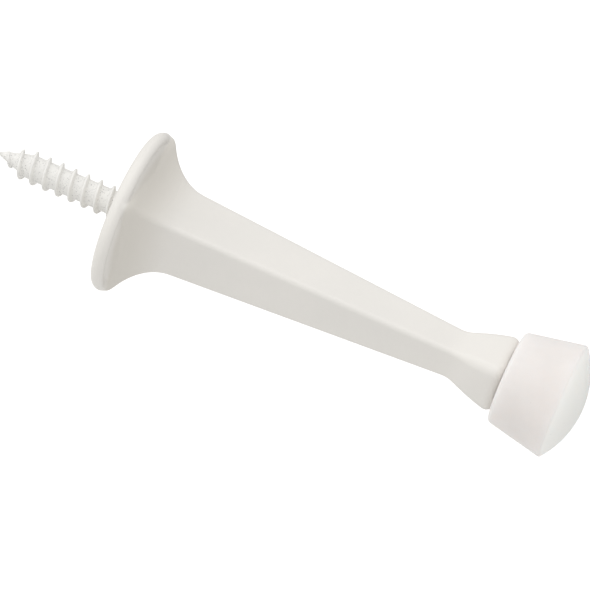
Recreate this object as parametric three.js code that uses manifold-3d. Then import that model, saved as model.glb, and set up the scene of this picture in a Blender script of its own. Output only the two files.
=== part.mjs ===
// Rigid wall door stop: a square, tapered zinc post cast in one with a round flange,
// a hanger screw in its foot and a push-on rubber tip.
//
// Millimetres. The stop's axis is +X, from the wall towards the door, and +Z is up.
// The origin is the centre of the flange's back plane, where the screw goes into the wall.

import * as THREE from 'three';
import { mergeVertices } from 'three/addons/utils/BufferGeometryUtils.js';
import Module from 'manifold-3d';

const wasm = await Module();
wasm.setup();

// ---- Driving dimensions ----

// Flange: a round foot with a rounded rim, a conical face and a hollow back
const flangeDiameter = 25.4;
const rimBackRadius = 1.4; // the rim's rounding towards the wall
const rimFrontRadius = 0.8; // and towards the door, up to its crest
const faceDrop = 0.3; // the face starts this far below the crest of the rim
const faceRise = 1.25; // and rises this much to the foot of the post
const seatRingWidth = 2.4; // flat ring that bears on the wall
const recessDepth = 1.2;
const bossDiameter = 9.5; // pad round the screw hole, inside the hollow back
const bossSetback = 0.3; // keeps the pad off the wall

// Post: a square section that stands on its corners, one up and one to each side
const postLength = 62.0; // wall to the face that the tip seats on
const cornerRadius = 0.8; // rounding of the post's four long edges
const footInset = 1.1; // from the rim's edge in to the post's corners, where the flare starts
const noseInset = 0.2; // the same where the corners run out on to the rim
const noseFullness = 0.6; // how far a corner keeps its reach on the way from rim to flare
const flareRun = 9.3; // the flare's ellipse, along the post
const flareLead = 7.8; // from the foot's corners out to the ellipse's centre line
const waistHalfDiagonal = 6.4; // where the flare runs into the taper
const taperAngle = 3.65; // degrees, each corner to the axis
const headLength = 7.9; // neck to the end face
const headHalfDiagonal = 6.05; // at the end face, before its edge is rounded
const headSwell = 0.32; // the head's sides bow outwards, to a control point this far out
const neckRadius = 5.0;
const headEdgeRadius = 1.2;

// Stud: grips the rubber tip
const studDiameter = 7.0;
const studLength = 6.0;
const studRibHeight = 0.45;
const studRibWidth = 1.2;
const studRibCount = 2;
const studRibPitch = 2.2;
const studRoot = 1.0; // how far the stud runs back into the head
const studChamfer = 0.6;

// Rubber tip: a cone that widens to a domed face
const tipLength = 11.9;
const tipBackDiameter = 14.2;
const tipEdgeDiameter = 17.8; // the edge between cone and dome
const tipDomeRadius = 14.3;
const tipBackRounding = 0.8;
const tipEdgeRounding = 0.4;
const tipSeatGap = 0.3; // left between the end face and the rubber
const tipBoreClearance = 0.3; // round the stud's ribs
const tipBoreEndGap = 0.8; // beyond the stud

// Hanger screw: a wood thread outside, a machine thread inside
const woodLength = 21.2; // out of the flange
const woodRootDiameter = 3.7;
const woodMajorDiameter = 5.0;
const woodPitch = 2.117; // 12 threads to the inch
const woodPointLength = 5.6;
const woodRidgeWidth = 1.0; // at the root
const woodCrestWidth = 0.4;
const woodRunIn = 1.0; // the ridge starts this far from the point
const woodRise = 5.2; // and takes this long to reach its full height
const shankDiameter = 4.0; // plain length between the two threads
const machineLength = 11.5;
const machineMajorDiameter = 4.83;
const machineRootDiameter = 3.6;
const machinePitch = 1.058; // 24 threads to the inch
const machineRidgeWidth = 0.8; // at the root
const machineCrestWidth = 0.13;
const tapClearance = 0.15; // between the screw's thread and the casting's
const tapExtraDepth = 1.5; // hole beyond the end of the screw

// Smoothness
const roundSegments = 40;
const threadSegments = 16; // for each turn
const arcDivisions = 5; // each half of an arc
const cornerDivisions = 2; // each half of a long edge's rounding
const ridgeFootShare = 0.75; // of the core's radius: where a thread's ridge is rooted
const ridgeStartShare = 0.9; // and where its crest starts and ends, just under the surface

// ---- Positions that follow from them ----

const flangeRadius = flangeDiameter / 2;
const seatEdgeRadius = flangeRadius - rimBackRadius;
const faceEdgeX = rimBackRadius + rimFrontRadius - faceDrop;
const faceTopX = faceEdgeX + faceRise;
const noseHalfDiagonal = flangeRadius - noseInset;
const footHalfDiagonal = flangeRadius - footInset;
const footX = (recessDepth + faceEdgeX) / 2; // the post starts inside the flange
const flareStartX = faceTopX;
const taperSlope = Math.tan(THREE.MathUtils.degToRad(taperAngle));
const neckX = postLength - headLength;
const tipBackX = postLength + tipSeatGap;
const tipApexX = tipBackX + tipLength;
const machineStartX = recessDepth;
const machineEndX = machineStartX + machineLength;
const studEndX = postLength + studLength;

// ---- Helpers ----

// The arc that rounds a corner and touches both of its sides.
function cornerArc(before, corner, after, radius) {
  const towardsBefore = before.clone().sub(corner).normalize();
  const towardsAfter = after.clone().sub(corner).normalize();
  const halfAngle = towardsBefore.angleTo(towardsAfter) / 2;
  const sideLength = radius / Math.tan(halfAngle);
  const bisector = towardsBefore.clone().add(towardsAfter).normalize();
  return {
    centre: corner.clone().addScaledVector(bisector, radius / Math.sin(halfAngle)),
    start: corner.clone().addScaledVector(towardsBefore, sideLength),
    end: corner.clone().addScaledVector(towardsAfter, sideLength),
    radius,
    clockwise: towardsBefore.cross(towardsAfter) > 0,
  };
}

// Runs a path straight to an arc and round it.
function addArc(path, { centre, start, end, radius, clockwise }) {
  const from = start.clone().sub(centre).angle();
  const to = end.clone().sub(centre).angle();
  path.absarc(centre.x, centre.y, radius, from, to, clockwise);
}

// Turns a profile of (radius, x) points round the X axis.
function turned(points, segments = roundSegments) {
  const geometry = new THREE.LatheGeometry(points, segments);
  geometry.rotateZ(-Math.PI / 2);
  return geometry;
}

// Moves each vertex of a geometry to where place(x, y, z) puts it.
function reshaped(geometry, place) {
  const position = geometry.getAttribute('position');
  for (let i = 0; i < position.count; i += 1) {
    const moved = place(position.getX(i), position.getY(i), position.getZ(i));
    position.setXYZ(i, moved.x, moved.y, moved.z);
  }
  return geometry;
}

function toSolid(geometry) {
  const bare = geometry.clone();
  bare.deleteAttribute('normal');
  bare.deleteAttribute('uv');
  const merged = mergeVertices(bare, 1e-5);
  const vertProperties = new Float32Array(merged.getAttribute('position').array);
  const triVerts = new Uint32Array(merged.getIndex().array);
  return new wasm.Manifold(new wasm.Mesh({ numProp: 3, vertProperties, triVerts }));
}

function toGeometry(solid) {
  const { vertProperties, triVerts } = solid.getMesh();
  const geometry = new THREE.BufferGeometry();
  geometry.setAttribute('position', new THREE.BufferAttribute(vertProperties, 3));
  geometry.setIndex(new THREE.BufferAttribute(triVerts, 1));
  geometry.computeVertexNormals();
  return geometry;
}

function named(name, geometry, material) {
  const mesh = new THREE.Mesh(geometry, material);
  mesh.name = name;
  return mesh;
}

// ---- Threads ----

// A right-hand thread's ridge. The ridge's section is pulled straight for as many units as
// it has turns, then each vertex is wound on to the helix. footAt(x) and crestAt(x) are
// radii. The foot lies inside the core that the ridge is joined to.
function threadRidge({ startX, turns, pitch, footWidth, crestWidth, footAt, crestAt }) {
  const section = new THREE.Shape();
  section.moveTo(-footWidth / 2, 0);
  section.lineTo(footWidth / 2, 0);
  section.lineTo(crestWidth / 2, 1);
  section.lineTo(-crestWidth / 2, 1);
  const steps = Math.floor(turns * threadSegments);
  const straight = new THREE.ExtrudeGeometry(section, {
    depth: steps / threadSegments,
    steps,
    bevelEnabled: false,
  });
  return reshaped(straight, (across, height, turn) => {
    const middleX = startX + pitch * turn;
    const x = middleX + across;
    const radius = THREE.MathUtils.lerp(footAt(x), crestAt(middleX), height);
    const angle = 2 * Math.PI * turn;
    return new THREE.Vector3(x, radius * Math.cos(angle), radius * Math.sin(angle));
  });
}

// A ridge's width at a foot that lies deeper than the root.
function widthAtFoot(rootWidth, crestWidth, crestRadius, rootRadius, footRadius) {
  const spread = (rootWidth - crestWidth) / (crestRadius - rootRadius);
  return crestWidth + spread * (crestRadius - footRadius);
}

// The machine thread and its core up to endX, grown all round by grow: nothing for the
// screw, a clearance for the tapped hole.
function machineThread(grow, endX) {
  const rootRadius = machineRootDiameter / 2 + grow;
  const crestRadius = machineMajorDiameter / 2 + grow;
  const footRadius = rootRadius * ridgeFootShare;
  const startX = machineStartX + machinePitch / 2;
  const turns = (endX - startX) / machinePitch - 1;
  const crestAt = (x) => {
    const rise = (x - startX) / machinePitch;
    const fall = (startX + turns * machinePitch - x) / machinePitch;
    const share = THREE.MathUtils.clamp(2 * Math.min(rise, fall), 0, 1);
    return THREE.MathUtils.lerp(rootRadius * ridgeStartShare, crestRadius, share);
  };
  const ridge = threadRidge({
    startX,
    turns,
    pitch: machinePitch,
    footWidth: widthAtFoot(
      machineRidgeWidth,
      machineCrestWidth,
      crestRadius,
      rootRadius,
      footRadius,
    ),
    crestWidth: machineCrestWidth,
    footAt: () => footRadius,
    crestAt,
  });
  const core = turned([
    new THREE.Vector2(0, machineStartX),
    new THREE.Vector2(rootRadius, machineStartX),
    new THREE.Vector2(rootRadius, endX - rootRadius / 2),
    new THREE.Vector2(rootRadius / 2, endX),
    new THREE.Vector2(0, endX),
  ], threadSegments);
  return toSolid(core).add(toSolid(ridge));
}

// ---- Post casting: flange, post and stud in one ----

// The distance from the axis to the post's long edges, along its length. They leave the
// rim in a rounded nose. The flare is an ellipse that touches the taper's line.
function postSilhouette() {
  const drop = footHalfDiagonal + flareLead - waistHalfDiagonal;
  const flareRise = Math.sqrt((drop ** 2 + drop * Math.hypot(drop, 2 * taperSlope * flareRun)) / 2);
  const leadAngle = Math.asin(flareLead / flareRise);
  const meetAngle = Math.atan((taperSlope * flareRun) / flareRise);
  const startAngle = Math.PI + leadAngle;
  const endAngle = 1.5 * Math.PI - meetAngle;
  const flareCentre = new THREE.Vector2(
    flareStartX + flareRun * Math.cos(leadAngle),
    footHalfDiagonal + flareLead,
  );
  const waist = new THREE.Vector2(
    flareCentre.x - flareRun * Math.sin(meetAngle),
    waistHalfDiagonal,
  );
  const neck = new THREE.Vector2(neckX, waist.y - taperSlope * (neckX - waist.x));
  const headEdge = new THREE.Vector2(postLength, headHalfDiagonal);
  const headBow = neck.clone().lerp(headEdge, 0.5).add(new THREE.Vector2(0, headSwell));
  const endCentre = new THREE.Vector2(postLength, 0);
  const neckArc = cornerArc(waist, neck, headBow, neckRadius);
  const edgeArc = cornerArc(headBow, headEdge, endCentre, headEdgeRadius);

  const noseBendX = THREE.MathUtils.lerp(faceEdgeX, flareStartX, noseFullness);

  const path = new THREE.Path();
  path.moveTo(footX, noseHalfDiagonal);
  path.lineTo(faceEdgeX, noseHalfDiagonal);
  path.quadraticCurveTo(noseBendX, noseHalfDiagonal, flareStartX, footHalfDiagonal);
  path.absellipse(flareCentre.x, flareCentre.y, flareRun, flareRise, startAngle, endAngle);
  addArc(path, neckArc);
  path.quadraticCurveTo(headBow.x, headBow.y, edgeArc.start.x, edgeArc.start.y);
  addArc(path, edgeArc);
  return path.getPoints(arcDivisions);
}

// A square that stands on a corner, with rounded corners.
function squareOutline(halfDiagonal) {
  const outline = new THREE.Shape();
  for (let side = 0; side < 4; side += 1) {
    const towards = (side * Math.PI) / 2;
    const x = (halfDiagonal - cornerRadius) * Math.cos(towards);
    const y = (halfDiagonal - cornerRadius) * Math.sin(towards);
    outline.absarc(x, y, cornerRadius, towards - Math.PI / 4, towards + Math.PI / 4);
  }
  return new THREE.Shape(outline.getPoints(cornerDivisions));
}

// A square bar with one step for each point of the silhouette. Each corner is then slid
// along its own diagonal to the silhouette, so that its rounding stays the same all along.
function postGeometry() {
  const silhouette = postSilhouette();
  const steps = silhouette.length - 1;
  const outline = squareOutline(waistHalfDiagonal);
  const bar = new THREE.ExtrudeGeometry(outline, { depth: steps, steps, bevelEnabled: false });
  return reshaped(bar, (across, up, station) => {
    const point = silhouette[Math.round(station)];
    const slide = point.y - waistHalfDiagonal;
    const isSideCorner = Math.abs(across) > Math.abs(up);
    const y = across + (isSideCorner ? Math.sign(across) * slide : 0);
    const z = up + (isSideCorner ? 0 : Math.sign(up) * slide);
    return new THREE.Vector3(point.x, y, z);
  });
}

// The flange, with its hollow back and the pad round the screw hole. Its face ends inside
// the foot of the post.
function flangeGeometry() {
  const padRadius = bossDiameter / 2;
  const hollowRadius = seatEdgeRadius - seatRingWidth;
  const crestRadius = flangeRadius - rimFrontRadius;
  const rimEndAngle = Math.PI - Math.asin((faceEdgeX - rimBackRadius) / rimFrontRadius);
  const footFlat = (footHalfDiagonal - cornerRadius) * Math.SQRT1_2 + cornerRadius;
  const faceTopRadius = footFlat - cornerRadius / 2;
  const profile = new THREE.Path();
  profile.moveTo(0, bossSetback);
  profile.lineTo(padRadius, bossSetback);
  profile.lineTo(padRadius, recessDepth);
  profile.lineTo(hollowRadius, recessDepth);
  profile.lineTo(hollowRadius, 0);
  profile.absarc(seatEdgeRadius, rimBackRadius, rimBackRadius, -Math.PI / 2, 0);
  profile.absarc(crestRadius, rimBackRadius, rimFrontRadius, 0, rimEndAngle);
  profile.lineTo(faceTopRadius, faceTopX);
  profile.lineTo(0, faceTopX);
  return turned(profile.getPoints(arcDivisions));
}

function studGeometry() {
  const radius = studDiameter / 2;
  const firstRibX = postLength + (studLength - (studRibCount - 1) * studRibPitch) / 2;
  const profile = new THREE.Path();
  profile.moveTo(0, postLength - studRoot);
  profile.lineTo(radius, postLength - studRoot);
  for (let rib = 0; rib < studRibCount; rib += 1) {
    const ribX = firstRibX + rib * studRibPitch;
    const ribEndX = ribX + studRibWidth / 2;
    profile.lineTo(radius, ribX - studRibWidth / 2);
    // the curve rises half as far as its control point
    profile.quadraticCurveTo(radius + 2 * studRibHeight, ribX, radius, ribEndX);
  }
  profile.lineTo(radius, studEndX - studChamfer);
  profile.lineTo(radius - studChamfer, studEndX);
  profile.lineTo(0, studEndX);
  return turned(profile.getPoints(arcDivisions));
}

// The threaded hole for the hanger screw, with a plain mouth that opens in the pad.
function tappedHole() {
  const mouthRadius = Math.max(shankDiameter, machineMajorDiameter) / 2 + tapClearance;
  const mouthEndX = machineStartX + machinePitch;
  const mouth = turned([
    new THREE.Vector2(0, 0),
    new THREE.Vector2(mouthRadius, 0),
    new THREE.Vector2(mouthRadius, mouthEndX),
    new THREE.Vector2(0, mouthEndX),
  ], threadSegments);
  return machineThread(tapClearance, machineEndX + tapExtraDepth).add(toSolid(mouth));
}

function postCasting() {
  const casting = toSolid(flangeGeometry())
    .add(toSolid(postGeometry()))
    .add(toSolid(studGeometry()))
    .subtract(tappedHole());
  return named('post_casting', toGeometry(casting), paintedZinc());
}

// ---- Hanger screw ----

// The wood thread's root: a straight core that runs down to a point.
function woodRootAt(x) {
  const share = THREE.MathUtils.clamp((x + woodLength) / woodPointLength, 0, 1);
  return (woodRootDiameter / 2) * share;
}

function woodRidge() {
  const rootRadius = woodRootDiameter / 2;
  const crestRadius = woodMajorDiameter / 2;
  const footRadius = rootRadius * ridgeFootShare;
  const startX = woodRunIn - woodLength;
  const endX = -woodPitch / 2;
  const crestAt = (x) => {
    const rise = (x - startX) / woodRise;
    const fall = (endX - x) / (woodPitch / 2);
    const share = THREE.MathUtils.clamp(Math.min(rise, fall), 0, 1);
    return THREE.MathUtils.lerp(woodRootAt(x) * ridgeStartShare, crestRadius, share);
  };
  return threadRidge({
    startX,
    turns: (endX - startX) / woodPitch,
    pitch: woodPitch,
    footWidth: widthAtFoot(woodRidgeWidth, woodCrestWidth, crestRadius, rootRadius, footRadius),
    crestWidth: woodCrestWidth,
    footAt: (x) => woodRootAt(x) * ridgeFootShare,
    crestAt,
  });
}

// The core of the wood thread and the plain shank, which ends inside the machine thread.
function screwCore() {
  return turned([
    new THREE.Vector2(0, -woodLength),
    new THREE.Vector2(woodRootDiameter / 2, woodPointLength - woodLength),
    new THREE.Vector2(woodRootDiameter / 2, -woodPitch),
    new THREE.Vector2(shankDiameter / 2, -woodPitch / 2),
    new THREE.Vector2(shankDiameter / 2, machineStartX),
    new THREE.Vector2(0, machineStartX + machinePitch),
  ], threadSegments);
}

function hangerScrew() {
  const screw = toSolid(screwCore())
    .add(toSolid(woodRidge()))
    .add(machineThread(0, machineEndX));
  return named('hanger_screw', toGeometry(screw), paintedSteel());
}

// ---- Rubber tip ----

function rubberTip() {
  const boreRadius = studDiameter / 2 + studRibHeight + tipBoreClearance;
  const boreEndX = studEndX + tipBoreEndGap;
  const backRadius = tipBackDiameter / 2;
  const edgeRadius = tipEdgeDiameter / 2;
  const domeCentreX = tipApexX - tipDomeRadius;
  const domeAngle = Math.acos(edgeRadius / tipDomeRadius); // from square to the axis
  const edgeX = domeCentreX + tipDomeRadius * Math.sin(domeAngle);
  const boreMouth = new THREE.Vector2(boreRadius, tipBackX);
  const backEdge = new THREE.Vector2(backRadius, tipBackX);
  const edge = new THREE.Vector2(edgeRadius, edgeX);
  // the dome leaves its edge square to the dome's own radius there
  const alongDome = new THREE.Vector2(-Math.sin(domeAngle), Math.cos(domeAngle)).add(edge);

  const profile = new THREE.Path();
  profile.moveTo(0, boreEndX);
  profile.lineTo(boreRadius, boreEndX);
  profile.lineTo(boreMouth.x, boreMouth.y);
  addArc(profile, cornerArc(boreMouth, backEdge, edge, tipBackRounding));
  addArc(profile, cornerArc(backEdge, edge, alongDome, tipEdgeRounding));
  const domeStart = domeAngle + tipEdgeRounding / tipDomeRadius;
  profile.absarc(0, domeCentreX, tipDomeRadius, domeStart, Math.PI / 2);
  return named('rubber_tip', turned(profile.getPoints(arcDivisions)), rubber());
}

// ---- Materials ----

function paintedZinc() {
  return new THREE.MeshStandardMaterial({ color: '#e9e7e1', roughness: 0.35, metalness: 0 });
}

function paintedSteel() {
  return new THREE.MeshStandardMaterial({ color: '#e2e1dd', roughness: 0.45, metalness: 0 });
}

function rubber() {
  return new THREE.MeshStandardMaterial({ color: '#eae6e4', roughness: 0.7, metalness: 0 });
}

// ---- Door stop ----

const doorStop = new THREE.Group();
doorStop.add(postCasting(), hangerScrew(), rubberTip());

export default doorStop;
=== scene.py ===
# Rigid wall door stop: a painted casting, a painted hanger screw and a rubber tip.
# Sizes in the dictionaries are millimetres; the meshes are turned into metres once they are done.

import math

import bmesh
import bpy
import numpy as np
from mathutils import Matrix, Quaternion, Vector


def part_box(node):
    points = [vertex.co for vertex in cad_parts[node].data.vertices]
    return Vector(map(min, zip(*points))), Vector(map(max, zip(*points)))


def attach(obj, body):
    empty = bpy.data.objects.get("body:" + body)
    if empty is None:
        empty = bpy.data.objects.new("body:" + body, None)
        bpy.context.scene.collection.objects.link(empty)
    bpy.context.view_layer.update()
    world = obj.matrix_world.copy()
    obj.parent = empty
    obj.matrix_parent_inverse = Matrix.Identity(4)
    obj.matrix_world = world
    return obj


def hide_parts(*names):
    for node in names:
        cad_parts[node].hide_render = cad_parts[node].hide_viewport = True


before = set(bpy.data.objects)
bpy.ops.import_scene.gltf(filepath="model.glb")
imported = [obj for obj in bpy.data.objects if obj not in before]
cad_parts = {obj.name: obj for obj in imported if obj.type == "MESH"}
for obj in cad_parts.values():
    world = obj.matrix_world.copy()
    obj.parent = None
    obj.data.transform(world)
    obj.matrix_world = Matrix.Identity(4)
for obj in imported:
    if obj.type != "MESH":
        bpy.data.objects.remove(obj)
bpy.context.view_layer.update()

metre = 1000.0
mergeDistance = 1e-4
cutDistance = 1e-5


def boxInMillimetres(node):
    low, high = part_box(node)
    return low * metre, high * metre


castingHigh = boxInMillimetres("post_casting")[1]
screwLow, screwHigh = boxInMillimetres("hanger_screw")
tipLow, tipHigh = boxInMillimetres("rubber_tip")
print("frame loaded, casting reaches", [round(v, 2) for v in castingHigh])


def cornerArc(before, corner, after, radius, steps):  # points of the arc that rounds a corner
    back = (Vector(before) - Vector(corner)).normalized()
    on = (Vector(after) - Vector(corner)).normalized()
    half = back.angle(on) / 2
    centre = Vector(corner) + (back + on).normalized() * radius / math.sin(half)
    start = Vector(corner) + back * radius / math.tan(half) - centre
    turn = (math.pi - 2 * half) * (-1 if back.cross(on) > 0 else 1)
    return [centre + Matrix.Rotation(turn * i / steps, 2) @ start for i in range(steps + 1)]


def bowedLine(start, bend, end, count):  # leaves and arrives in the direction of the bend
    return [start * (1 - t) ** 2 + bend * 2 * t * (1 - t) + end * t ** 2
            for t in np.linspace(0, 1, count)]


def travelled(line):  # distance covered at each of a line's points
    return np.r_[0, np.cumsum(np.linalg.norm(np.diff(line, axis=0), axis=1))]


def pointsAlong(line, distances):
    along = travelled(line)
    return np.stack([np.interp(distances, along, line[:, k]) for k in range(2)], 1)


def softened(path, reach, count):  # rounds a path's corners, then spaces its points evenly
    fineStep = 0.03
    path = np.array([tuple(p) for p in path], float)
    length = travelled(path)[-1]
    line = pointsAlong(path, np.linspace(0, length, int(length / fineStep) + 2))
    # each point becomes the mean of its neighbours, with the line carried on past both ends
    side = int(reach / fineStep / 2)
    lead = 2 * line[0] - line[side:0:-1]
    tail = 2 * line[-1] - line[-2:-side - 2:-1]
    carried = np.concatenate([lead, line, tail])
    kernel = np.ones(2 * side + 1) / (2 * side + 1)
    smooth = np.stack([np.convolve(carried[:, k], kernel, "valid") for k in range(2)], 1)
    return pointsAlong(smooth, np.linspace(0, travelled(smooth)[-1], count))


def pulledShell(stations):  # a closed skin pulled from ring to ring
    bm = bmesh.new()
    lane = bm.verts.layers.int.new("lane")
    ring = bmesh.ops.create_circle(bm, segments=len(stations[0]), radius=1)["verts"]
    for i, v in enumerate(ring):
        v[lane] = i
    edges = bm.edges[:]
    bmesh.ops.contextual_create(bm, geom=edges)
    for n, station in enumerate(stations):
        if n:
            grown = bmesh.ops.extrude_edge_only(bm, edges=edges)["geom"]
            ring = [g for g in grown if isinstance(g, bmesh.types.BMVert)]
            edges = [g for g in grown if isinstance(g, bmesh.types.BMEdge)]
        for v in ring:
            v.co = station[v[lane]]
    bmesh.ops.contextual_create(bm, geom=edges)
    return bm


def finishPiece(name, bm, material, body, node):
    bmesh.ops.recalc_face_normals(bm, faces=bm.faces)
    bmesh.ops.scale(bm, vec=(1 / metre,) * 3, verts=bm.verts)
    for face in bm.faces:
        face.smooth = True
    openEdges = sum(1 for e in bm.edges if len(e.link_faces) != 2)
    mesh = bpy.data.meshes.new(name)
    bm.to_mesh(mesh)
    bm.free()
    mesh.materials.append(material)
    piece = bpy.data.objects.new(name, mesh)
    bpy.context.collection.objects.link(piece)
    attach(piece, body)
    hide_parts(node)
    triangles = sum(len(p.vertices) - 2 for p in mesh.polygons)
    print(f"{name}: {triangles} triangles, {openEdges} open edges")


def newNode(tree, kind, **settings):
    node = tree.nodes.new(kind)
    for key, value in settings.items():
        setattr(node, key, value)
    return node


def feed(tree, socket, value):  # a link where the value comes from a node, otherwise a constant
    if isinstance(value, bpy.types.NodeSocket):
        tree.links.new(value, socket)
    else:
        socket.default_value = value


def mathNode(tree, operation, first, second):
    node = newNode(tree, "ShaderNodeMath", operation=operation)
    feed(tree, node.inputs[0], first)
    feed(tree, node.inputs[1], second)
    return node.outputs[0]


def ramped(tree, value, low, high, toLow=0.0, toHigh=1.0):  # eased from one level to the other
    node = newNode(tree, "ShaderNodeMapRange", interpolation_type="SMOOTHSTEP")
    for label, part in zip(("From Min", "From Max", "To Min", "To Max"), (low, high, toLow, toHigh)):
        feed(tree, node.inputs[label], part)
    feed(tree, node.inputs["Value"], value)
    return node.outputs["Result"]


def mixedColour(tree, share, first, second):
    node = newNode(tree, "ShaderNodeMix", data_type="RGBA")
    for socket, value in zip((node.inputs[0], node.inputs[6], node.inputs[7]), (share, first, second)):
        feed(tree, socket, value)
    return node.outputs[2]


def perMetre(tree, size):  # a pattern's scale from the size of its features in millimetres
    return mathNode(tree, "DIVIDE", metre, size)


def sizedNoise(tree, vector, size, detail, roughness=0.5):
    noise = newNode(tree, "ShaderNodeTexNoise")
    noise.inputs["Detail"].default_value = detail
    noise.inputs["Roughness"].default_value = roughness
    feed(tree, noise.inputs["Vector"], vector)
    feed(tree, noise.inputs["Scale"], perMetre(tree, size))
    return noise.outputs["Fac"]


def newGroup(name, inputs, outputs):
    group = bpy.data.node_groups.new(name, "ShaderNodeTree")
    for label, kind, value in inputs:
        socket = group.interface.new_socket(name=label, in_out="INPUT", socket_type=kind)
        if value is not None:
            socket.default_value = value
    for label, kind in outputs:
        group.interface.new_socket(name=label, in_out="OUTPUT", socket_type=kind)
    return group, newNode(group, "NodeGroupInput").outputs, newNode(group, "NodeGroupOutput").inputs


def makeToneDrift():  # slow wander between two tones
    group, given, out = newGroup(
        "tone drift",
        [("Vector", "NodeSocketVector", None), ("Tone", "NodeSocketColor", (0.8, 0.8, 0.8, 1)),
         ("Other tone", "NodeSocketColor", (0.7, 0.7, 0.7, 1)), ("Size", "NodeSocketFloat", 8.0)],
        [("Color", "NodeSocketColor")],
    )
    wanderSpan = (0.35, 0.68)  # the noise rarely leaves these levels
    wander = sizedNoise(group, given["Vector"], given["Size"], detail=4, roughness=0.6)
    share = ramped(group, wander, *wanderSpan)
    feed(group, out["Color"], mixedColour(group, share, given["Tone"], given["Other tone"]))
    return group


def makeSurfaceGrain():  # height of a coat's ripple with a finer tooth on it
    group, given, out = newGroup(
        "surface grain",
        [("Vector", "NodeSocketVector", None), ("Ripple size", "NodeSocketFloat", 1.2),
         ("Tooth size", "NodeSocketFloat", 0.2), ("Tooth", "NodeSocketFloat", 0.3)],
        [("Height", "NodeSocketFloat")],
    )
    ripple = sizedNoise(group, given["Vector"], given["Ripple size"], detail=2)
    tooth = sizedNoise(group, given["Vector"], given["Tooth size"], detail=3, roughness=0.65)
    height = mathNode(group, "ADD", ripple, mathNode(group, "MULTIPLY", tooth, given["Tooth"]))
    feed(group, out["Height"], height)
    return group


def makePitField():  # scattered round pits or specks, up to 1 in the middle of each
    group, given, out = newGroup(
        "pit field",
        [("Vector", "NodeSocketVector", None), ("Spacing", "NodeSocketFloat", 0.5),
         ("Radius", "NodeSocketFloat", 0.3), ("Share", "NodeSocketFloat", 0.5)],
        [("Mask", "NodeSocketFloat")],
    )
    faintest, strongest = 0.35, 1.0
    cells = newNode(group, "ShaderNodeTexVoronoi", feature="F1")
    feed(group, cells.inputs["Vector"], given["Vector"])
    feed(group, cells.inputs["Scale"], perMetre(group, given["Spacing"]))
    spot = ramped(group, cells.outputs["Distance"], given["Radius"], 0.0)
    lot = newNode(group, "ShaderNodeSeparateColor")
    feed(group, lot.inputs["Color"], cells.outputs["Color"])
    chosen = mathNode(group, "LESS_THAN", lot.outputs[0], given["Share"])
    strength = ramped(group, lot.outputs[1], 0.0, 1.0, faintest, strongest)
    pits = mathNode(group, "MULTIPLY", spot, mathNode(group, "MULTIPLY", chosen, strength))
    feed(group, out["Mask"], pits)
    return group


toneDrift = makeToneDrift()
surfaceGrain = makeSurfaceGrain()
pitField = makePitField()
print("shared effects made")


def placed(tree, group, vector, **values):  # a shared effect in a material, with its own values
    node = newNode(tree, "ShaderNodeGroup", node_tree=group)
    feed(tree, node.inputs["Vector"], vector)
    for label, value in values.items():
        feed(tree, node.inputs[label.replace("_", " ")], value)
    return node.outputs[0]


def newMaterial(name):
    material = bpy.data.materials.new(name)
    material.use_nodes = True
    tree = material.node_tree
    where = newNode(tree, "ShaderNodeTexCoord").outputs["Object"]
    return material, tree, tree.nodes["Principled BSDF"], where


def driftingTone(tree, where, coat):
    return placed(tree, toneDrift, where, Tone=coat["tone"], Other_tone=coat["otherTone"],
                  Size=coat["driftSize"])


def grained(tree, where, coat):
    return placed(tree, surfaceGrain, where, Ripple_size=coat["rippleSize"],
                  Tooth_size=coat["toothSize"], Tooth=coat["tooth"])


def alongPost(tree, where):  # distance from the wall
    parts = newNode(tree, "ShaderNodeSeparateXYZ")
    feed(tree, parts.inputs[0], where)
    return parts.outputs["X"]


def fromAxis(tree, where):  # distance from the middle of the post
    across = newNode(tree, "ShaderNodeVectorMath", operation="MULTIPLY")
    feed(tree, across.inputs[0], where)
    across.inputs[1].default_value = (0, 1, 1)
    length = newNode(tree, "ShaderNodeVectorMath", operation="LENGTH")
    feed(tree, length.inputs[0], across.outputs[0])
    return length.outputs["Value"]


def bumpSurface(tree, shader, height, depth):  # depth in millimetres for a height of 1
    bump = newNode(tree, "ShaderNodeBump")
    bump.inputs["Strength"].default_value = 1.0
    bump.inputs["Distance"].default_value = depth / metre
    feed(tree, bump.inputs["Height"], height)
    feed(tree, shader.inputs["Normal"], bump.outputs["Normal"])


def roughenSurface(tree, shader, grain, coat):  # the grain's peaks are rougher than its dips
    roughness = ramped(tree, grain, *coat["grainSpan"], *coat["roughness"])
    feed(tree, shader.inputs["Roughness"], roughness)


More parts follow.
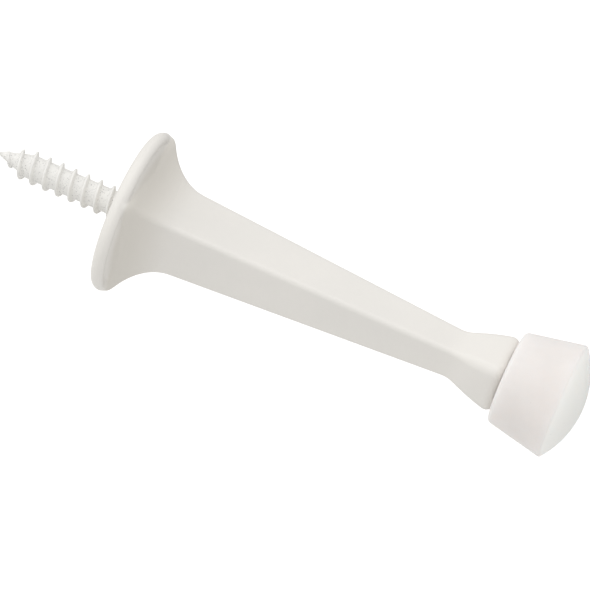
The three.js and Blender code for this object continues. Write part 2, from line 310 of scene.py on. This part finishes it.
casting = {  # flange, flared square post and stud
    "rimBackRadius": 1.4,
    "rimFrontRadius": 0.8,
    "faceDrop": 0.3,  # the face's outer edge lies this far behind the front of the rim
    "faceRise": 1.25,
    "seatRingWidth": 2.4,
    "recessDepth": 1.2,
    "bossRadius": 4.75,
    "bossSetback": 0.3,
    "mouthRadius": 2.565,
    "mouthDepth": 0.9,
    "holeDepth": 14.2,
    "cornerRadius": 0.8,
    "headCornerRadius": 1.5,
    "bluntingRun": 0.5,  # share of the head over which its long edges get blunter
    "footInset": 1.1,
    "noseInset": 0.2,
    "noseFullness": 0.6,
    "flareRun": 9.3,
    "flareLead": 7.8,
    "waistHalfDiagonal": 6.4,
    "taperAngle": 3.65,
    "headLength": 7.9,
    "headHalfDiagonal": 6.05,
    "headSwell": 0.32,
    "neckRadius": 5.0,
    "headEdgeRadius": 1.2,
    "seatGap": 0.3,  # between the end face and the solid tip
    "studRadius": 3.5,
    "studRibHeight": 0.45,
    "studRibWidth": 1.2,
    "studRibPitch": 2.2,
    "studChamfer": 0.6,
    "studCapRadius": 0.3,
    "backReach": 0.3,  # how far the paint softens the corners of the hollow back
    "filletReach": 0.6,  # the same at the foot
    "noseFilletReach": 1.0,  # and where the post's long edges run out on the rim
    "creaseX": 6.1,  # faint line where the flare runs out on the flats
    "creaseBow": 0.75,
    "creaseWidth": 0.22,
    "creaseDepth": 0.025,
    "creaseFade": 0.25,  # how gently the line begins beside the long edges
}

castingSteps = {  # how many points each stretch gets
    "corner": 16,
    "flat": 32,
    "rim": 16,
    "back": 90,
    "bead": 48,
    "face": 80,
    "nose": 20,
    "foot": 76,
    "flare": 60,
    "flareInFoot": 36,
    "taper": 40,
    "neck": 10,
    "head": 16,
    "headEdge": 8,
    "rib": 9,
}

paint = {
    "tone": (0.81, 0.787, 0.75, 1),
    "otherTone": (0.79, 0.77, 0.735, 1),
    "driftSize": 12.0,
    "paintedFootShadeTone": (0.697, 0.669, 0.619, 1),  # painted shade: a darker tone in the hollow round the foot, where shade falls
    "paintedShadeStart": (2.0, 2.6),  # along the post: none to full
    "paintedShadeFade": (3.5, 10.0),  # and from full to none
    "rippleSize": 1.4,
    "toothSize": 0.25,
    "tooth": 0.12,
    "grainDepth": 0.02,
    "grainSpan": (0.35, 0.8),
    "roughness": (0.41, 0.51),
    "shine": 0.35,
}

laneCount = 4 * (castingSteps["corner"] + castingSteps["flat"])
postLength = tipLow.x - casting["seatGap"]
flangeRadius = castingHigh.y
seatEdgeRadius = flangeRadius - casting["rimBackRadius"]
crestRadius = flangeRadius - casting["rimFrontRadius"]
faceEdgeX = casting["rimBackRadius"] + casting["rimFrontRadius"] - casting["faceDrop"]
flareStartX = faceEdgeX + casting["faceRise"]
footHalfDiagonal = flangeRadius - casting["footInset"]
noseHalfDiagonal = flangeRadius - casting["noseInset"]


def wayAt(angle):
    return math.cos(angle), math.sin(angle)


def squareLanes():  # for each lane: the way to its corner's centre and the way of its rounding
    corners, roundings = [], []
    for side in range(4):
        here = side * math.pi / 2
        following = here + math.pi / 2
        for k in range(castingSteps["corner"]):
            corners.append(wayAt(here))
            roundings.append(wayAt(here - math.pi / 4 + math.pi / 2 * k / castingSteps["corner"]))
        for k in range(castingSteps["flat"]):
            share = k / castingSteps["flat"]
            corners.append([(1 - share) * a + share * b for a, b in zip(wayAt(here), wayAt(following))])
            roundings.append(wayAt(here + math.pi / 4))
    return np.array(corners), np.array(roundings)


cornerWay, roundingWay = squareLanes()
middleShare = (1 - np.linalg.norm(cornerWay, axis=1)) / (1 - math.sqrt(0.5))  # 1 in a flat's middle


def squareRing(x, halfDiagonal, cornerRadius):
    yz = cornerWay * (halfDiagonal - cornerRadius) + roundingWay * cornerRadius
    return np.column_stack([np.full(laneCount, x), yz])


noseRing = squareRing(faceEdgeX, noseHalfDiagonal, casting["cornerRadius"])[:, 1:]
noseReach = np.linalg.norm(noseRing, axis=1)
laneWay = noseRing / noseReach[:, None]


def roundRing(x, radius):
    return np.column_stack([np.full(laneCount, x), laneWay * radius])


def rimArc(centreRadius, rounding, start, end, steps):  # (x, radius) round the flange's edge
    angles = np.linspace(start, end, steps + 1)
    return [(casting["rimBackRadius"] + rounding * math.sin(a), centreRadius + rounding * math.cos(a))
            for a in angles]


def backLine():  # (x, radius) from inside the hole over the pad, the hollow and the seat to the rim
    mouthRadius, bossRadius = casting["mouthRadius"], casting["bossRadius"]
    seatInnerRadius = seatEdgeRadius - casting["seatRingWidth"]
    line = [(casting["mouthDepth"], mouthRadius), (casting["bossSetback"], mouthRadius)]
    line += [(casting["bossSetback"], bossRadius), (casting["recessDepth"], bossRadius)]
    line += [(casting["recessDepth"], seatInnerRadius), (0, seatInnerRadius)]
    line += rimArc(seatEdgeRadius, casting["rimBackRadius"], -math.pi / 2, 0, castingSteps["rim"])
    return softened(line, casting["backReach"], castingSteps["back"])


def beadAndFace():  # (x, radius) from the rim's widest line over its bead and up the conical face
    rounding, cornerRadius = casting["rimFrontRadius"], casting["cornerRadius"]
    beadEnd = math.pi - math.asin(1 - casting["faceDrop"] / rounding)
    bead = rimArc(crestRadius, rounding, 0, beadEnd, castingSteps["bead"])
    outerRadius = bead[-1][1]
    footFlat = (footHalfDiagonal - cornerRadius) * math.sqrt(0.5) + cornerRadius
    innerRadius = footFlat - cornerRadius / 2  # just inside the post's flats
    face = [(faceEdgeX + casting["faceRise"] * t, outerRadius + (innerRadius - outerRadius) * t)
            for t in np.linspace(0, 1, castingSteps["face"])[1:]]
    return bead + face


def noseLine():  # (x, half diagonal) where the post's corners run out on the rim
    start = Vector((faceEdgeX, noseHalfDiagonal))
    bend = Vector((faceEdgeX + casting["noseFullness"] * casting["faceRise"], noseHalfDiagonal))
    end = Vector((flareStartX, footHalfDiagonal))
    return bowedLine(start, bend, end, castingSteps["nose"])


def flareAndPost():  # (x, half diagonal) of the flare, and on from there to the end face
    slope = math.tan(math.radians(casting["taperAngle"]))
    run, lead, waistHalf = casting["flareRun"], casting["flareLead"], casting["waistHalfDiagonal"]
    # the flare is part of an ellipse that meets the taper without a kink
    drop = footHalfDiagonal + lead - waistHalf
    rise = math.sqrt((drop ** 2 + drop * math.hypot(drop, 2 * slope * run)) / 2)
    meet = math.atan(slope * run / rise)
    begin = math.asin(lead / rise)
    centre = Vector((flareStartX + run * math.cos(begin), footHalfDiagonal + lead))
    angles = np.linspace(begin, math.pi / 2 - meet, castingSteps["flare"])
    flare = [Vector((centre.x - run * math.cos(a), centre.y - rise * math.sin(a))) for a in angles]
    waist = Vector((centre.x - run * math.sin(meet), waistHalf))
    neckX = postLength - casting["headLength"]
    neck = Vector((neckX, waist.y - slope * (neckX - waist.x)))
    headEdge = Vector((postLength, casting["headHalfDiagonal"]))
    bow = neck.lerp(headEdge, 0.5) + Vector((0, casting["headSwell"]))
    neckArc = cornerArc(waist, neck, bow, casting["neckRadius"], castingSteps["neck"])
    endAxis = (postLength, 0)
    edgeArc = cornerArc(bow, headEdge, endAxis, casting["headEdgeRadius"], castingSteps["headEdge"])
    head = bowedLine(neckArc[-1], bow, edgeArc[0], castingSteps["head"])[1:-1]
    taper = [waist.lerp(neckArc[0], t) for t in np.linspace(0, 1, castingSteps["taper"])[1:-1]]
    return flare, taper + neckArc + head + edgeArc


flareLine, postLine = flareAndPost()
flareJoin = castingSteps["flareInFoot"]  # the flare's points up to here belong to the foot


def footRings():  # from the rim's widest line over the bead and the face, and up the flare
    leastStep = 0.02
    flange = beadAndFace()
    post = noseLine() + flareLine[1:flareJoin + 1]
    postX = [p.x for p in post]
    fillet, noseFillet = casting["filletReach"], casting["noseFilletReach"]
    lanes = []
    for reach in noseReach:
        ways = [p.y * reach / noseHalfDiagonal for p in post]
        meeting = next(n for n, (x, way) in enumerate(flange) if way <= np.interp(x, postX, ways))
        path = flange[:meeting + 1]
        path += [(x, way) for x, way in zip(postX, ways) if x > path[-1][0] + leastStep]
        cornered = (reach - noseReach.min()) / (noseReach.max() - noseReach.min())
        reachHere = fillet + cornered ** 3 * (noseFillet - fillet)
        lanes.append(softened(path, reachHere, castingSteps["foot"]))
    rings = []
    for lane in np.array(lanes).transpose(1, 0, 2):
        x, way = lane[:, 0], lane[:, 1]
        half = noseHalfDiagonal * way / noseReach
        onFlange = laneWay * way[:, None]
        onPost = cornerWay * (half - casting["cornerRadius"])[:, None]
        onPost += roundingWay * casting["cornerRadius"]
        yz = np.where((way > noseReach)[:, None], onFlange, onPost)
        rings.append(np.column_stack([x, yz]))
    return rings


def creased(ring):  # a shallow line across each flat, bowed towards the tip in its middle
    lineX = casting["creaseX"] + casting["creaseBow"] * middleShare
    dip = casting["creaseDepth"] * np.exp(-((ring[:, 0] - lineX) / casting["creaseWidth"]) ** 2)
    ring[:, 1:] -= roundingWay * (dip * np.minimum(1, middleShare / casting["creaseFade"]))[:, None]
    return ring


def cornerRadiusAt(x):  # the long edges get blunter on the head
    headStart = postLength - casting["headLength"]
    share = np.clip((x - headStart) / (casting["bluntingRun"] * casting["headLength"]), 0, 1)
    eased = share * share * (3 - 2 * share)
    return casting["cornerRadius"] + eased * (casting["headCornerRadius"] - casting["cornerRadius"])


def studLine():  # (x, radius) of the ribbed stud
    radius, chamfer = casting["studRadius"], casting["studChamfer"]
    middle = (postLength + castingHigh.x) / 2
    line = [(postLength, radius)]
    for ribX in (middle - casting["studRibPitch"] / 2, middle + casting["studRibPitch"] / 2):
        for share in np.linspace(-1, 1, castingSteps["rib"]):
            height = casting["studRibHeight"] * (1 - share ** 2)
            line.append((ribX + share * casting["studRibWidth"] / 2, radius + height))
    line.append((castingHigh.x - chamfer, radius))
    line.append((castingHigh.x, radius - chamfer))
    line.append((castingHigh.x, casting["studCapRadius"]))
    return line


def makeCasting(material):
    rings = [roundRing(casting["holeDepth"], casting["mouthRadius"])]
    rings += [roundRing(x, radius) for x, radius in backLine()]
    rings += [creased(ring) for ring in footRings()[1:]]
    for point in flareLine[flareJoin + 1:] + postLine:
        rings.append(creased(squareRing(point.x, point.y, cornerRadiusAt(point.x))))
    rings += [roundRing(x, radius) for x, radius in studLine()]
    finishPiece("paintedCasting", pulledShell(rings), material, "stop", "post_casting")


def makePaint():
    material, tree, shader, where = newMaterial("warm white paint")
    along = alongPost(tree, where)
    # painted shade: the hollow round the foot is darkened in the colour itself, standing in for the shade
    # there
    shadeBegun = ramped(tree, along, *(x / metre for x in paint["paintedShadeStart"]))
    shadeFading = ramped(tree, along, *(x / metre for x in paint["paintedShadeFade"]), 1.0, 0.0)
    paintedShadeAtFoot = mathNode(tree, "MULTIPLY", shadeBegun, shadeFading)
    colour = mixedColour(tree, paintedShadeAtFoot, driftingTone(tree, where, paint), paint["paintedFootShadeTone"])
    feed(tree, shader.inputs["Base Color"], colour)
    grain = grained(tree, where, paint)
    bumpSurface(tree, shader, grain, paint["grainDepth"])
    roughenSurface(tree, shader, grain, paint)
    shader.inputs["Specular IOR Level"].default_value = paint["shine"]
    return material


makeCasting(makePaint())


screw = {
    "woodRoot": 1.85,
    "woodCrest": 2.5,
    "woodPitch": 2.117,
    "woodPoint": 5.6,
    "pointBulge": 0.85,  # 1 gives a straight cone, less a fuller point
    "woodRunIn": 1.0,
    "woodRise": 4.0,
    "woodRisePower": 1.4,
    "woodRunOut": 0.35,  # share of the thread's height left where the shank is full
    "woodCrestWidth": 0.3,
    "woodFlankWidth": 0.3,
    "woodSteps": 72,
    "shankRadius": 2.0,
    "machineStart": 1.2,
    "machineRoot": 1.8,
    "machineCrest": 2.415,
    "machinePitch": 1.058,
    "machineCrestWidth": 0.12,
    "machineFlankWidth": 0.4,
    "machineSteps": 48,
    "rodLap": 0.3,  # the two rods overlap by this much inside the casting
    "crestCurve": ((0.6, 0.02), (1.0, 0.1)),  # share of the crest's half width, drop
    "flankCurve": ((0.3, 0.62), (0.6, 0.28), (0.85, 0.06), (1.0, 0.0)),  # share of the flank, height
}

screwPaint = {
    "tone": (0.86, 0.85, 0.82, 1),
    "otherTone": (0.82, 0.81, 0.785, 1),
    "driftSize": 1.6,
    "pitTone": (0.3, 0.305, 0.31, 1),
    "pitSpacing": 0.27,
    "pitRadius": 0.45,
    "pitShare": 0.8,
    "pitsFade": (2.2, 1.95),  # distances from the axis: clean crests, pitted root
    "rippleSize": 0.6,
    "toothSize": 0.15,
    "tooth": 0.4,
    "grainDepth": 0.04,
    "grainSpan": (0.4, 0.9),
    "roughness": (0.45, 0.6),
}


def threadSection(pitch, crestWidth, flankWidth):  # (along, height) over one pitch, round its crest
    crest = crestWidth / 2
    half = [(0, 1)]
    half += [(share * crest, 1 - drop) for share, drop in screw["crestCurve"]]
    half += [(crest + share * flankWidth, height) for share, height in screw["flankCurve"]]
    half += [((crest + flankWidth + pitch / 2) / 2, 0), (pitch / 2, 0)]
    return [(-along, height) for along, height in half[:0:-1]] + half


def threadedRod(section, pitch, firstCrest, start, end, rootAt, crestAt, steps):
    spareTurns = 1
    seamDistance = pitch / 200  # one turn meets the next within this
    turns = math.ceil((end - start) / pitch) + 2 * spareTurns
    firstTurn = math.floor((start - firstCrest) / pitch) - spareTurns
    bm = bmesh.new()
    height = bm.verts.layers.float.new("height")
    last = None
    for along, share in section:
        vert = bm.verts.new((firstCrest + firstTurn * pitch + along, 1, 0))
        vert[height] = share
        if last:
            bm.edges.new((last, vert))
        last = vert
    bmesh.ops.spin(bm, geom=bm.verts[:] + bm.edges[:], cent=(0, 0, 0), axis=(1, 0, 0),
                   dvec=(pitch / steps, 0, 0), angle=2 * math.pi * turns, steps=steps * turns)
    bmesh.ops.remove_doubles(bm, verts=bm.verts, dist=seamDistance)
    for x, side in ((start, -1), (end, 1)):
        cut = bmesh.ops.bisect_plane(bm, geom=bm.verts[:] + bm.edges[:] + bm.faces[:], dist=cutDistance,
                                     plane_co=(x, 0, 0), plane_no=(side, 0, 0), clear_outer=True)
        rim = [g for g in cut["geom_cut"] if isinstance(g, bmesh.types.BMEdge)]
        bmesh.ops.contextual_create(bm, geom=rim)
    for v in bm.verts:
        radius = rootAt(v.co.x) + (crestAt(v.co.x) - rootAt(v.co.x)) * v[height]
        around = Vector((0, v.co.y, v.co.z)).normalized() * radius
        v.co = (v.co.x, around.y, around.z)
    return bm


def held(share):  # kept between 0 and 1
    return min(1.0, max(0.0, share))


def woodRootAt(x):
    point = held((x - screwLow.x) / screw["woodPoint"]) ** screw["pointBulge"]
    shank = held((x + screw["woodPitch"]) / (screw["woodPitch"] / 2))
    return screw["woodRoot"] * point + shank * (screw["shankRadius"] - screw["woodRoot"])


def woodCrestAt(x):
    halfPitch = screw["woodPitch"] / 2
    rise = (x - screwLow.x - screw["woodRunIn"]) / screw["woodRise"]
    fall = (-halfPitch - x) / halfPitch + screw["woodRunOut"]
    share = held(min(rise, fall)) ** screw["woodRisePower"]
    return max(woodRootAt(x), woodRootAt(x) * (1 - share) + screw["woodCrest"] * share)


def machineCrestAt(x):
    rise = (x - screw["machineStart"]) / screw["machinePitch"]
    fall = (screwHigh.x - x) / screw["machinePitch"]
    return screw["machineRoot"] + held(min(rise, fall)) * (screw["machineCrest"] - screw["machineRoot"])


def makeScrew(material):
    woodPitch, machinePitch = screw["woodPitch"], screw["machinePitch"]
    wood = threadedRod(
        threadSection(woodPitch, screw["woodCrestWidth"], screw["woodFlankWidth"]), woodPitch,
        firstCrest=screwLow.x + screw["woodRunIn"],
        start=screwLow.x, end=screw["machineStart"] + 2 * screw["rodLap"],
        rootAt=woodRootAt, crestAt=woodCrestAt, steps=screw["woodSteps"])
    machine = threadedRod(
        threadSection(machinePitch, screw["machineCrestWidth"], screw["machineFlankWidth"]), machinePitch,
        firstCrest=screw["machineStart"] + machinePitch / 2,
        start=screw["machineStart"] + screw["rodLap"], end=screwHigh.x,
        rootAt=lambda x: screw["machineRoot"], crestAt=machineCrestAt, steps=screw["machineSteps"])
    rod = bpy.data.meshes.new("machine rod")
    machine.to_mesh(rod)
    machine.free()
    wood.from_mesh(rod)
    bpy.data.meshes.remove(rod)
    bmesh.ops.remove_doubles(wood, verts=wood.verts, dist=mergeDistance)
    finishPiece("wallScrew", wood, material, "stop", "hanger_screw")


def makeScrewPaint():
    material, tree, shader, where = newMaterial("thin paint on the screw")
    onRoot = ramped(tree, fromAxis(tree, where), *(r / metre for r in screwPaint["pitsFade"]))
    pits = placed(tree, pitField, where, Spacing=screwPaint["pitSpacing"],
                  Radius=screwPaint["pitRadius"], Share=screwPaint["pitShare"])
    marks = mathNode(tree, "MULTIPLY", pits, onRoot)
    colour = mixedColour(tree, marks, driftingTone(tree, where, screwPaint), screwPaint["pitTone"])
    feed(tree, shader.inputs["Base Color"], colour)
    grain = grained(tree, where, screwPaint)
    bumpSurface(tree, shader, mathNode(tree, "SUBTRACT", grain, marks), screwPaint["grainDepth"])
    roughenSurface(tree, shader, grain, screwPaint)
    return material


makeScrew(makeScrewPaint())


tip = {
    "seatGap": 0.02,  # between the rubber and the end face
    "backRadius": 7.1,
    "edgeRadius": 8.9,
    "domeRadius": 14.3,
    "backRounding": 0.8,
    "edgeRounding": 0.4,
    "mouthRounding": 0.3,
    "boreRadius": 4.25,
    "boreGap": 0.8,  # between the stud's end and the bore's
    "mouthSteps": 4,
    "edgeSteps": 8,
    "domeSteps": 26,
    "domeStart": 0.03,  # radians from the edge to the dome's first own point
    "roundSteps": 128,
}

rubber = {
    "tone": (0.805, 0.77, 0.75, 1),
    "otherTone": (0.785, 0.75, 0.73, 1),
    "paintedLitDomeTone": (0.975, 0.915, 0.878, 1),  # painted light: the dome is coloured paler than the sides, standing in for light falling on it
    "paintedLightBlend": 0.3,
    "driftSize": 3.5,
    "dustTone": (0.68, 0.65, 0.63, 1),
    "dustSpacing": 1.1,
    "dustRadius": 0.12,
    "dustShare": 0.3,
    "rippleSize": 0.9,
    "toothSize": 0.16,
    "tooth": 0.6,
    "grainDepth": 0.02,
    "grainSpan": (0.4, 1.1),
    "roughness": (0.57, 0.72),
    "shine": 0.35,
    "glow": 1.0,  # share of the light that spreads under the skin
    "glowReach": (4.5, 4.2, 4.0),
}

domeCentreX = tipHigh.x - tip["domeRadius"]
domeAngle = math.acos(tip["edgeRadius"] / tip["domeRadius"])  # of its edge; 0 is square to the post


def onDome(angle):  # (x, radius)
    return Vector((domeCentreX + tip["domeRadius"] * math.sin(angle), tip["domeRadius"] * math.cos(angle)))


def tipLine():  # (x, radius) from the middle of the bore's end, round the outside, to the apex
    boreEnd = castingHigh.x + tip["boreGap"]
    seatX = postLength + tip["seatGap"]
    boreCorner = (boreEnd, tip["boreRadius"])
    mouth = (seatX, tip["boreRadius"])
    backEdge = (seatX, tip["backRadius"])
    edge = onDome(domeAngle)
    alongDome = edge + Vector((math.cos(domeAngle), -math.sin(domeAngle)))
    line = [(boreEnd, 0.0), boreCorner]
    line += cornerArc(boreCorner, mouth, backEdge, tip["mouthRounding"], tip["mouthSteps"])
    line += cornerArc(mouth, backEdge, edge, tip["backRounding"], tip["edgeSteps"])
    line += cornerArc(backEdge, edge, alongDome, tip["edgeRounding"], tip["edgeSteps"])
    line += [onDome(a) for a in np.linspace(domeAngle + tip["domeStart"], math.pi / 2, tip["domeSteps"])]
    return line


def makeTip(material):
    bm = bmesh.new()
    verts = [bm.verts.new((x, radius, 0)) for x, radius in tipLine()]
    for first, second in zip(verts, verts[1:]):
        bm.edges.new((first, second))
    bmesh.ops.spin(bm, geom=bm.verts[:] + bm.edges[:], cent=(0, 0, 0), axis=(1, 0, 0),
                   angle=2 * math.pi, steps=tip["roundSteps"], use_merge=True)
    bmesh.ops.remove_doubles(bm, verts=bm.verts, dist=mergeDistance)
    finishPiece("rubberBumper", bm, material, "tip", "rubber_tip")


def makeRubber():
    material, tree, shader, where = newMaterial("pale moulded rubber")
    # painted light: the end dome gets a paler tone, standing in for the light that falls on it
    paintedLightStart = onDome(domeAngle).x / metre
    paintedLightOnDome = ramped(tree, alongPost(tree, where), paintedLightStart, paintedLightStart + rubber["paintedLightBlend"] / metre)
    toneWithPaintedLight = mixedColour(tree, paintedLightOnDome, driftingTone(tree, where, rubber), rubber["paintedLitDomeTone"])
    dust = placed(tree, pitField, where, Spacing=rubber["dustSpacing"],
                  Radius=rubber["dustRadius"], Share=rubber["dustShare"])
    feed(tree, shader.inputs["Base Color"], mixedColour(tree, dust, toneWithPaintedLight, rubber["dustTone"]))
    grain = grained(tree, where, rubber)
    bumpSurface(tree, shader, grain, rubber["grainDepth"])
    roughenSurface(tree, shader, grain, rubber)
    shader.inputs["Specular IOR Level"].default_value = rubber["shine"]
    shader.inputs["Subsurface Weight"].default_value = rubber["glow"]
    shader.inputs["Subsurface Radius"].default_value = rubber["glowReach"]
    shader.inputs["Subsurface Scale"].default_value = 1 / metre
    return material


makeTip(makeRubber())


ground = {
    "drop": 260.0,
    "size": 3000.0,
    "tone": (0.93, 0.93, 0.925, 1),
    "otherTone": (0.91, 0.91, 0.905, 1),
    "driftSize": 400.0,
    "roughness": 0.9,
    "shine": 0.1,
}

studio = {
    "skyTone": (1.0, 0.995, 0.985, 1),
    "skyStrength": 0.56,
    "backdropStrength": 1.2,  # the sky as the camera sees it
    "lamps": {  # where each comes from, its strength and its width in degrees
        "front softbox": ((-0.1, -0.8, 0.7), 1.05, 60),
        "left softbox": ((-1, -0.3, 0.25), 0.80, 60),
        "top softbox": ((0.1, 0.15, 1), 0.15, 60),
        "right softbox": ((1, -0.45, 0.3), 0.15, 60),
    },
}

camera = {
    "target": (28.554, 0.0, -1.591),
    "azimuth": 7.796,
    "elevation": -0.362,
    "roll": 23.870,
    "distance": 634.15,
    "viewAngle": 7.852,
    "nearest": 10.0,
}


def makeFloor():
    bm = bmesh.new()
    bmesh.ops.create_grid(bm, x_segments=1, y_segments=1, size=ground["size"] / 2 / metre)
    bmesh.ops.translate(bm, vec=(0, 0, -ground["drop"] / metre), verts=bm.verts)
    mesh = bpy.data.meshes.new("floor")
    bm.to_mesh(mesh)
    bm.free()
    material, tree, shader, where = newMaterial("pale floor")
    feed(tree, shader.inputs["Base Color"], driftingTone(tree, where, ground))
    shader.inputs["Roughness"].default_value = ground["roughness"]
    shader.inputs["Specular IOR Level"].default_value = ground["shine"]
    mesh.materials.append(material)
    floor = bpy.data.objects.new("floor", mesh)
    bpy.context.collection.objects.link(floor)


def makeLight():
    world = bpy.data.worlds.new("studio")
    bpy.context.scene.world = world
    world.use_nodes = True
    tree = world.node_tree
    sky = tree.nodes["Background"]
    sky.inputs["Color"].default_value = studio["skyTone"]
    path = newNode(tree, "ShaderNodeLightPath")
    strength = newNode(tree, "ShaderNodeMix", data_type="FLOAT")
    feed(tree, strength.inputs[0], path.outputs["Is Camera Ray"])
    strength.inputs[2].default_value = studio["skyStrength"]
    strength.inputs[3].default_value = studio["backdropStrength"]
    feed(tree, sky.inputs["Strength"], strength.outputs[0])
    for name, (comesFrom, power, width) in studio["lamps"].items():
        sun = bpy.data.lights.new(name, "SUN")
        sun.energy = power
        sun.angle = math.radians(width)
        lamp = bpy.data.objects.new(name, sun)
        lamp.rotation_euler = Vector(comesFrom).to_track_quat("Z", "Y").to_euler()
        bpy.context.collection.objects.link(lamp)


def makeCamera():
    azimuth, elevation = math.radians(camera["azimuth"]), math.radians(camera["elevation"])
    look = Vector((-math.sin(azimuth) * math.cos(elevation), math.cos(azimuth) * math.cos(elevation),
                   -math.sin(elevation)))
    lens = bpy.data.cameras.new("camera")
    lens.angle = math.radians(camera["viewAngle"])
    lens.clip_start = camera["nearest"] / metre
    eye = bpy.data.objects.new("camera", lens)
    roll = Quaternion((0, 0, 1), math.radians(camera["roll"]))
    eye.rotation_euler = (look.to_track_quat("-Z", "Y") @ roll).to_euler()
    eye.location = (Vector(camera["target"]) - look * camera["distance"]) / metre
    bpy.context.collection.objects.link(eye)
    bpy.context.scene.camera = eye


makeFloor()
makeLight()
makeCamera()
bpy.context.scene.view_settings.view_transform = "Standard"
print("studio made")
